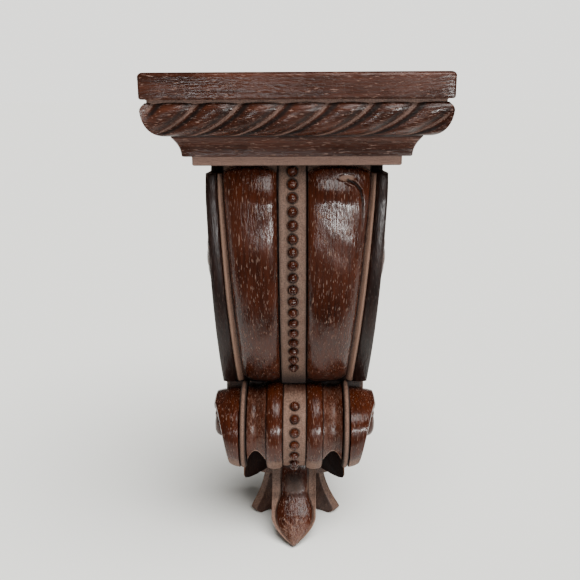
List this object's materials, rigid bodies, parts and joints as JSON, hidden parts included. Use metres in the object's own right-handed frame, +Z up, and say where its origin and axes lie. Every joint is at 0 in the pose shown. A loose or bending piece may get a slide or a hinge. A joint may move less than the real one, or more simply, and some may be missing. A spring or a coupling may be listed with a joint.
{
  "type": "shelf corbel bracket",
  "caption": "Carved wooden shelf corbel: moulded cap with a rope edge over a lobed, beaded trunk, a scroll and a leaf drop.",
  "frame": {"origin": "mounting point on the flat back, on the middle line, 110 mm below the cap's top", "axes": "+Z up, +Y out of the back into the wall, +X to the right as seen from the front"},
  "size_m": [0.152, 0.1, 0.2813],
  "materials": {
    "cap_wood": "dark mahogany stain, satin lacquer, grain across, open pores",
    "body_wood": "dark mahogany stain, glossy lacquer on the raised carving and dull tan recesses, grain upright, open pores"
  },
  "bodies": {
    "root": {"cap": "cap_wood", "body": "body_wood"}
  },
  "joints": []
}
